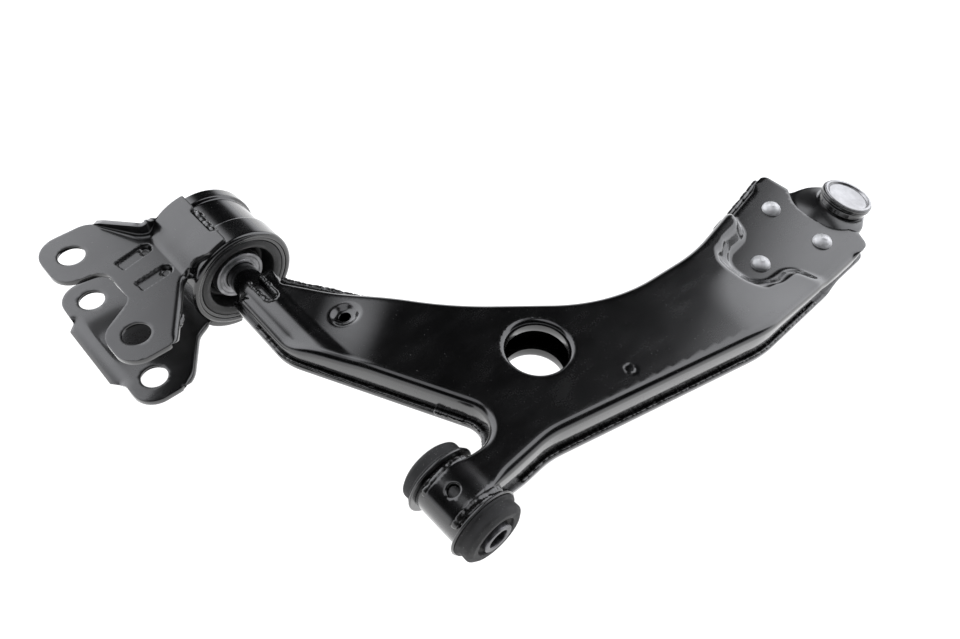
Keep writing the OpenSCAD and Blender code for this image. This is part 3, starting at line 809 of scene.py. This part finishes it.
core = lathe(
    "rear_core",
    rounded([(REAR_X - 29, PIN_R, 0.2), (REAR_X - 29, 17.5, 0.6), (CORE_END, 17.5, 0.9),
             (CORE_END, 15.2, 0.5),
             (CORE_END - 0.7, 14.6, 0.3), (CORE_END - 0.7, 12.6, 0.3), (CORE_END, 12.2, 0.4),
             (CORE_END, PIN_R, 0.3)], 0.5),
)
put(core, "arm", CAST, "cast_core", "rear_bush_core")

RUBBER_FRONT = REAR_X + 27.4
RUBBER_BACK = REAR_X - 27.0


rear_rubber = lathe(
    "rear_rubber",
    rounded([(RUBBER_BACK, 17.5, 0.3), (RUBBER_BACK + 12, 19.5, 2), (RUBBER_BACK + 12, 23, 2),
             (RUBBER_BACK, 24.5, 2),
             (RUBBER_BACK, 30.4, 0.8), (RUBBER_FRONT - 0.6, 30.4, 1.2), (RUBBER_FRONT, 27.2, 2.5),
             (RUBBER_FRONT - 1.0, 24.2, 1.6), (RUBBER_FRONT - 15, 23.2, 2), (RUBBER_FRONT - 15, 19, 1.2),
             (RUBBER_FRONT - 6, 17.5, 0.3)], 0.7),
    steps=128,
)
put(rear_rubber, "arm", REAR_RUBBER, "bush_rubber", "rear_bush_rubber")

outer_sleeve = lathe(
    "rear_outer_sleeve",
    rounded([(REAR_X - 27, 30.5, 0.4), (REAR_X - 27, 33, 0.4), (REAR_X + 27.2, 33, 0.7),
             (REAR_X + 27.2, 31.2, 0.5),
             (REAR_X + 26.6, 30.5, 0.3)], 0.5), steps=128,
)
put(outer_sleeve, "bracket", COAT_SATIN, "bush_shell", "rear_bush_outer_sleeve")

housing = lathe(
    "rear_housing",
    rounded([(REAR_X - 28, 33, 0.5), (REAR_X - 28, HOUSING_R, 1.4), (REAR_X - 19, HOUSING_R, 1.2),
             (REAR_X - 17.8, 34.8, 1.2),
             (REAR_X + 7, 34.8, 1.2), (REAR_X + 8.6, HOUSING_R, 1.4), (REAR_X + 28, HOUSING_R, 2.4),
             (REAR_X + 28, 33, 0.8)],
            0.7), steps=144,
)
put(housing, "bracket", COAT, "black_coat", "rear_housing")

# ---------------------------------------------------------------- bracket

BOLT_Y = -81.0
BOLT_X = REAR_X + 1.2
BOLT_HALF = 42.4
PLATE_T = 3.5
STRAP_R = HOUSING_R + PLATE_T - 0.16
UPPER_Z = 22.0
LOWER_Z = -21.5
UPPER_PLATE = [
    [-309, -99, 17], [-267, -99, 15], [-262, -71, 9], [-230, -71, 9], [-214, -98, 15], [-182, -98, 15],
    [-182, -66, 9], [-225, -36.5, 12], [-227, -27, 5], [-220.5, -19, 6], [-221, -5.2, 1.5], [-231, -5.2, 1],
    [-233, -9, 1.8], [-258, -9, 1.8], [-260, -5.2, 1], [-273.5, -5.2, 1.5], [-275, -30, 10], [-277, -36, 8],
    [-309, -60, 14],
]
LOWER_PLATE = [
    [-307, -98.5, 16], [-277.5, -99.3, 1.5], [-276.5, -104, 1], [-220.5, -104, 1.5], [-208, -98.3, 5],
    [-183.5, -98, 15], [-183.5, -64, 20], [-214, -42, 14], [-220, -30, 6], [-221, -6.3, 1.5],
    [-273.5, -6.3, 1.5],
    [-275, -28, 8], [-281, -40, 10], [-307, -64, 14],
]


def groove(p, near, far):
    """Depth of a pressed groove: square at its outer end, running into a deeper round dent at the bend."""
    a, b = np.array(near), np.array(far)
    ahead = (b - a) / np.linalg.norm(b - a)
    v = p - a
    along = v @ ahead
    across = v @ right_of(ahead)
    length = np.linalg.norm(b - a)
    edge_distance = np.maximum(np.abs(across), np.where(along < 0, -along + 4.6, 0))
    channel = 2.1 * (1 - smooth((edge_distance - 3.9) / 1.0)) * (1 - smooth((along - length) / 3))
    dent = 3.6 * (1 - smooth((np.hypot(across, along - length) - 2.6) / 2.4))
    return np.maximum(channel, dent)


def upper_plate_height(p):
    y = p[:, 1]
    arch = np.where(y > -STRAP_R + 0.2, np.sqrt(np.maximum(STRAP_R**2 - y**2, 0.1)), 0)
    flat = np.full_like(y, UPPER_Z)
    z = np.where(y < -20, smooth_max(flat, arch, 4.0), arch)
    return z - groove(p, (-259.5, -62.5), (-263.5, -43)) - groove(p, (-236, -61.5), (-238.5, -42))


def upper_plate_edge(p):
    """Upturned lip on the rear flank and a turned-down skirt on the front flank."""
    x, y = p[:, 0], p[:, 1]
    lip = (np.where(x < -272, np.clip((y + 64) / 26, 0, 1) * (1 - smooth((y + 33) / 7)), 0)
           * smooth((x + 308) / 8))
    skirt = np.where(x > -226, smooth((y + 70) / 8) * (1 - smooth((y + 36) / 8)), 0)
    z = upper_plate_height(p)
    radius = np.where(lip > 0.08, 3.2 * lip, np.where(skirt > 0.08, 3.6 * skirt, 0))
    level = np.where(lip > 0.08, z + 8.5 * lip, np.where(skirt > 0.08, z - 4.4 * skirt, z))
    return radius, level, np.where(lip > 0.08, 3.4 * lip, 0)


def lower_plate_height(p):
    y = p[:, 1]
    arch = -np.sqrt(np.maximum(HOUSING_R**2 - y**2, 0.1))
    flat = np.full_like(y, LOWER_Z)
    z = np.where(y < -20, -smooth_max(-flat, -np.where(y < -HOUSING_R, 0, arch), 2.5), arch)
    middle = smooth((p[:, 0] + 283) / 6) * (1 - smooth((p[:, 0] + 214) / 10))
    return z - middle * 0.053 * np.maximum(-93 - y, 0) ** 2


def lower_plate_edge(p):
    x, y = p[:, 0], p[:, 1]
    skirt = np.where(x > -226, smooth((y + 72) / 8) * (1 - smooth((y + 34) / 6)), 0)
    z = lower_plate_height(p)
    radius = np.where(skirt > 0.08, 2.4 * skirt, 0)
    return radius, np.where(skirt > 0.08, z - 3.4 * skirt, z), np.zeros(len(p))


def plate_detail(p):
    return (p[:, 1] > -70) | (p[:, 1] < -90)


BOLT_HOLE = [(9.0, 0.0), (8.65, 0.12), (8.5, 0.45), (8.5, 1.0)]
bolt_holes = [(BOLT_X + s * BOLT_HALF, BOLT_Y, BOLT_HOLE) for s in (-1, 1)]
plate = pressed_sheet("bracket_upper", UPPER_PLATE, upper_plate_height, upper_plate_edge, PLATE_T,
                      holes=bolt_holes, fine=plate_detail, grid=1.5, step=1.5, bevel=0.6)
put(plate, "bracket", COAT_SATIN, "black_coat", "bracket_upper_plate")
plate = pressed_sheet("bracket_lower", LOWER_PLATE, lower_plate_height, lower_plate_edge, PLATE_T,
                      holes=bolt_holes, fine=plate_detail, grid=2.6, step=2.0, bevel=0.6)
put(plate, "bracket", COAT_SATIN, "black_coat", "bracket_lower_plate")


def across(angle, x0, x1, r, count=30):
    x = np.linspace(x0, x1, count)
    a = math.radians(angle)
    return np.column_stack([x, np.full(count, r * math.cos(a)), np.full(count, r * math.sin(a))])


STRAP_WELD_X = (-259, -232)
STRAP_WELD_R = HOUSING_R + 0.5
for word, angle, seed in (("upper", 98.6, 81), ("lower", 262.4, 83)):
    bead = weld_bead(f"strap_weld_{word}", across(angle, *STRAP_WELD_X, STRAP_WELD_R), 5.2, seed, 3.4)
    put(bead, "bracket", WELD, "weld_black", "bracket_welds")
flank_path = np.column_stack([np.linspace(-203, -194.5, 12), np.linspace(-51.5, -58.5, 12),
                              np.linspace(18.4, 17.4, 12)])
put(weld_bead("flank_weld", flank_path, 3.6, 91, 4.0), "bracket", WELD, "weld_black")

# ---------------------------------------------------------------- ball joint

LEAN_OUT = math.radians(12)
LEAN_FRONT = math.radians(4)
BALL = Vector((7, 373, 2))
TO_BALL = Matrix.Rotation(LEAN_FRONT, 3, "Y") @ Matrix.Rotation(-LEAN_OUT, 3, "X")
AXIS = TO_BALL @ Vector((0, 0, 1))
FLANGE = [
    [-8, 262, 8], [16, 262, 8], [35, 318, 12], [31, 366, 10], [22, 386, 8], [-10, 386, 8], [-21, 372, 8],
    [-38, 338, 12],
]


def from_axis(p, z):
    """Distance of points at level z from the ball joint's axis."""
    v = np.column_stack([p, np.full(len(p), z)]) - np.array(BALL)
    n = np.array(AXIS)
    return np.linalg.norm(v - (v @ n)[:, None] * n, axis=1)


def flange_height(p):
    shoulder = BALL.z + 6.0 - (AXIS.x * (p[:, 0] - BALL.x) + AXIS.y * (p[:, 1] - BALL.y)) / AXIS.z
    share = np.clip(1 - (from_axis(p, 9.0) - 19.4) / 15.0, 0, 1)
    return 5.0 + np.maximum(shoulder - 5.0, 0) * share


def flange_edge(p):
    return np.full(len(p), 1.6), np.full(len(p), -3.0), np.zeros(len(p))


def closed_slab(name, corners, height, edge, **options):
    """Forged slab: its outer face and fold from pressed_sheet, closed by a flat face underneath."""
    obj = pressed_sheet(name, corners, height, edge, 0.0, **options)
    bm = bmesh.new()
    bm.from_mesh(obj.data)
    bmesh.ops.holes_fill(bm, edges=[e for e in bm.edges if e.is_boundary], sides=0)
    bm.to_mesh(obj.data)
    bm.free()
    shade(obj, 38)
    return obj


def ball_lathe(name, profile, **options):
    return lathe(name, profile, tuple(BALL), tuple(AXIS), **options)


CUP_R = 17.8
flange = closed_slab("ball_flange", FLANGE, flange_height, flange_edge, grid=2.4,
                     fine=lambda p: from_axis(p, 8.0) < 30)
put(flange, "arm", COAT_SATIN, "black_coat", "ball_joint_housing")
cup = ball_lathe(
    "ball_cup",
    rounded([(-15, 15.9, 0.4), (-15, CUP_R, 0.8), (-13, CUP_R, 0.4), (-13, 16.6, 0.3), (-10, 16.6, 0.3),
             (-10, CUP_R, 0.5),
             (6, CUP_R, 2), (10.4, CUP_R - 0.5, 1), (10.4, 15.5, 0.3), (-7, 15.5, 0.3), (-7, 12, 0.3),
             (-9, 12, 0.3)], 0.7),
)
put(cup, "arm", COAT, "black_coat")
crimp = ball_lathe(
    "ball_crimp",
    rounded([(10.4, 17.4, 0.2), (10.4, 18.9, 0.6), (11.9, 19.1, 0.3), (12.3, 18.5, 0.2), (12.7, 19.1, 0.3),
             (14.3, 19.0, 0.6), (14.6, 17.4, 0.2)], 0.4),
)
put(crimp, "arm", COAT, "black_coat")
cover = ball_lathe(
    "ball_cover",
    [(12.2, 0), (12.2, 13.6), (10.7, 15.2), (10.6, 17.0), (10.6, 17.6), (14.9, 17.9), (15.4, 17.85),
     (15.6, 17.5),
     (15.6, 16.4), (15.4, 15.9), (14.6, 15.5), (14.1, 15.1), (14.1, 14.7), (14.35, 14.3), (14.3, 13.6),
     (13.7, 9),
     (13.3, 4), (13.2, 0)],
    closed=False, steps=128, sharp=40,
)
put(cover, "arm", BRIGHT, "bright_steel", "ball_joint_cover")


def dome(r, h, flat):
    """Section of a rivet's head from its rim to its middle, with a small flat."""
    return [(h * math.sin(a), r * math.cos(a) ** 1.15) for a in np.radians([0, 14, 28, 42, 54, 66])] + [
        (h * 0.985, flat), (h, flat * 0.4), (h, 0)]


for k, (x, y) in enumerate(RIVETS):
    top = [(8.0 + a, r) for a, r in dome(7.0, 5.3, 2.2)]
    under = [(-6.0 - a, r) for a, r in dome(7.0, 5.3, 2.2)][::-1]
    rivet = lathe(f"rivet_{k}", under + [(-6, 5.2), (8, 5.2)] + top, (x, y, 0), (0, 0, 1), steps=56,
                  closed=False, sharp=60)
    put(rivet, "arm", RIVET, "rivet_steel", *(["ball_joint_rivets"] if k == 0 else []))

STUD_R = 9.0
groove_profile = [(-47 + 4 * k / 6, STUD_R - 1.8 * math.cos(math.radians(15 * k))) for k in range(-6, 7)]
sphere = [(-11 * math.cos(a), 11 * math.sin(a)) for a in np.radians(range(40, 181, 7))]
stud = ball_lathe(
    "ball_stud",
    [(-52, 0), (-52, 4.2), (-59.4, 4.4), (-60, 5.0), (-60, 7.4), (-58.6, STUD_R)] + groove_profile
    + [(-33.2, STUD_R), (-33, 9.3), (-32.6, 9.4), (-23.4, 9.4), (-22.6, 9.1), (-20, 7.2), (-18, 7.0),
       (-9, 7.0)] + sphere
    + [(11, 0)],
    closed=False, steps=72,
)
put(stud, "stud", STEEL, "plain_steel", "ball_stud")


def boot_half(name, outer, wall):
    """Part of the boot: its outer line, and the same line a wall's thickness inside."""
    outer = np.array(outer, float)
    tangent = np.gradient(outer, axis=0)
    tangent /= np.linalg.norm(tangent, axis=1)[:, None]
    inner = outer + np.column_stack([tangent[:, 1], -tangent[:, 0]]) * wall
    inner[:, 1] = np.maximum(inner[:, 1], 9.5)
    profile = [tuple(p) for p in outer] + [tuple(p) for p in inner[::-1]]
    return ball_lathe(name, profile, steps=96, sharp=60)


def curve(points, count):
    """Smooth line through points."""
    p = np.array(points, float)
    t = np.concatenate([[0], np.cumsum(np.linalg.norm(np.diff(p, axis=0), axis=1))])
    s = np.linspace(0, t[-1], count)
    out = np.stack([np.interp(s, t, p[:, k]) for k in range(2)], 1)
    for _ in range(3):
        out[1:-1] = 0.25 * out[:-2] + 0.5 * out[1:-1] + 0.25 * out[2:]
    return out


BOOT_SPLIT = -20.4
BOOT_WALL = 1.3
boot_line = curve([(-10.3, 18.4), (-12.6, 18.4), (-13.4, 19.0), (-15.2, 19.9), (-17.6, 20.9), (-19.4, 21.1),
                   (-20.8, 20.6), (-22.4, 18.6), (-24.2, 16.9), (-25.6, 14.4), (-26.6, 12.6), (-28.2, 11.0),
                   (-31.0, 10.9)], 70)
cut = int(np.argmin(np.abs(boot_line[:, 0] - BOOT_SPLIT)))
boot_upper = boot_half("boot_upper", boot_line[: cut + 1], BOOT_WALL)
boot_lower = boot_half("boot_lower", boot_line[cut:], BOOT_WALL)
for piece in (boot_upper, boot_lower):
    piece.data.materials.append(BOOT_RUBBER)
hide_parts("dust_boot")


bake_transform(boot_upper)
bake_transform(boot_lower)


def wire_ring(name, s, radius, wire, turns):
    """Spring wire wound round the joint's axis."""
    count, around = 120, 10
    points, faces = [], []
    total = int(count * turns)
    for i in range(total + 1):
        a = 2 * math.pi * i / count
        along = s + wire * 1.02 * (i / count - turns / 2)
        for k in range(around):
            b = 2 * math.pi * k / around
            q = radius + wire / 2 * math.cos(b)
            v = BALL + TO_BALL @ Vector((q * math.cos(a), q * math.sin(a), along + wire / 2 * math.sin(b)))
            points.append(v[:])
    for i in range(total):
        for k in range(around):
            j = (k + 1) % around
            faces.append([i * around + k, (i + 1) * around + k, (i + 1) * around + j, i * around + j])
    faces.append(list(range(around)))
    faces.append([total * around + k for k in range(around - 1, -1, -1)])
    obj = make_object(name, points, faces, 60)
    if signed_volume(obj) < 0:
        obj.data.flip_normals()
    return obj


put(wire_ring("boot_clamp_upper", -11.7, 19.1, 0.9, 1.8), "arm", STEEL, "plain_steel", "boot_clamp_large")
put(wire_ring("boot_clamp_lower", -29.2, 11.6, 0.8, 1.8), "boot_neck", STEEL, "plain_steel",
    "boot_clamp_small")

for node, material in (("ball_seat", POLYMER), ("preload_disc", STEEL)):
    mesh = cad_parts[node].data
    mesh.materials.clear()
    mesh.materials.append(material)

# ---------------------------------------------------------------- studio

PANEL_LIGHT = 2.3
SWEEP_LIGHT = 1.2
LAMP_LIGHT = 1.3
floor_mesh = bpy.data.meshes.new("floor")
FLOOR_Z = CAD_BOX[0][2] - 0.0005
SIZE = 6.0
floor_mesh.from_pydata([(-SIZE, -SIZE, FLOOR_Z), (SIZE, -SIZE, FLOOR_Z), (SIZE, SIZE, FLOOR_Z),
                        (-SIZE, SIZE, FLOOR_Z)],
                       [], [(0, 1, 2, 3)])
floor = bpy.data.objects.new("floor", floor_mesh)
bpy.context.scene.collection.objects.link(floor)
paper = bpy.data.materials.new("paper")
paper.use_nodes = True
paper_shader = paper.node_tree.nodes["Principled BSDF"]
paper_shader.inputs["Base Color"].default_value = (0.35, 0.35, 0.35, 1)
paper_shader.inputs["Roughness"].default_value = 0.9
paper_shader.inputs["Emission Color"].default_value = (1, 1, 1, 1)
paper_shader.inputs["Emission Strength"].default_value = 1.0
floor_mesh.materials.append(paper)

world = bpy.data.worlds.new("studio")
bpy.context.scene.world = world
world.use_nodes = True
sky = world.node_tree
sky_direction = sky.nodes.new("ShaderNodeTexCoord").outputs["Generated"]


def heading(degrees):
    return (math.cos(math.radians(degrees)), math.sin(math.radians(degrees)), 0)


def sky_part(first, last, softness, top, top_softness, strength):
    """Part of the studio's walls between two headings and below a height, with soft edges."""
    split = sky.nodes.new("ShaderNodeSeparateXYZ")
    sky.links.new(sky_direction, split.inputs[0])
    limits = [(split.outputs["Z"], top - top_softness, top + top_softness, (strength, 0))]
    for facing in ([] if first is None else [first + 90, last - 90]):
        side = sky.nodes.new("ShaderNodeVectorMath")
        side.operation = "DOT_PRODUCT"
        side.inputs[1].default_value = heading(facing)
        sky.links.new(sky_direction, side.inputs[0])
        limits.append((side.outputs["Value"], -softness, softness, (0, 1)))
    out = None
    for value, low, high, to in limits:
        ramp = sky.nodes.new("ShaderNodeMapRange")
        ramp.interpolation_type = "SMOOTHSTEP"
        for key, v in zip(("From Min", "From Max", "To Min", "To Max"), (low, high, *to)):
            ramp.inputs[key].default_value = v
        sky.links.new(value, ramp.inputs["Value"])
        if out is None:
            out = ramp.outputs["Result"]
        else:
            product = sky.nodes.new("ShaderNodeMath")
            product.operation = "MULTIPLY"
            sky.links.new(out, product.inputs[0])
            sky.links.new(ramp.outputs["Result"], product.inputs[1])
            out = product.outputs[0]
    return out


def sky_lamp(direction, edge, softness, strength):
    """Round soft lamp: directions whose cosine to the lamp's is above edge."""
    side = sky.nodes.new("ShaderNodeVectorMath")
    side.operation = "DOT_PRODUCT"
    side.inputs[1].default_value = direction
    sky.links.new(sky_direction, side.inputs[0])
    ramp = sky.nodes.new("ShaderNodeMapRange")
    ramp.interpolation_type = "SMOOTHSTEP"
    for key, v in zip(("From Min", "From Max", "To Min", "To Max"),
                      (edge - softness, edge + softness, 0, strength)):
        ramp.inputs[key].default_value = v
    sky.links.new(side.outputs["Value"], ramp.inputs["Value"])
    return ramp.outputs["Result"]


# Two panels with a dark gap between them, a soft one overhead, and the paper sweep all round below
parts = [
    sky_part(46, 110, 0.05, 0.94, 0.05, PANEL_LIGHT),
    sky_part(163, 228, 0.12, 0.86, 0.06, PANEL_LIGHT),
    sky_part(None, None, 0, 0.18, 0.12, SWEEP_LIGHT),
    sky_lamp((0.0, -0.25, 0.968), 0.945, 0.025, LAMP_LIGHT),
]
light = parts[0]
for part in parts[1:]:
    lighter = sky.nodes.new("ShaderNodeMath")
    lighter.operation = "MAXIMUM"
    sky.links.new(light, lighter.inputs[0])
    sky.links.new(part, lighter.inputs[1])
    light = lighter.outputs[0]
sky.links.new(light, sky.nodes["Background"].inputs["Strength"])
sky.nodes["Background"].inputs["Color"].default_value = (0.95, 0.96, 1.0, 1)

camera_data = bpy.data.cameras.new("camera")
camera_data.sensor_width = 36
camera_data.lens = 31.97
camera_data.clip_start = 0.02
camera = bpy.data.objects.new("camera", camera_data)
right = Vector((0.67578, 0.73560, 0.04708)).normalized()
forward = Vector((-0.44691, 0.45969, -0.76743)).normalized()
up = right.cross(forward)
forward = up.cross(right)
turn = Matrix((right, up, -forward)).transposed()
camera.matrix_world = Matrix.Translation(Vector((0.15991, -0.16031, 0.42943))) @ turn.to_4x4()
bpy.context.scene.collection.objects.link(camera)
bpy.context.scene.camera = camera
bpy.context.scene.view_settings.view_transform = "Standard"
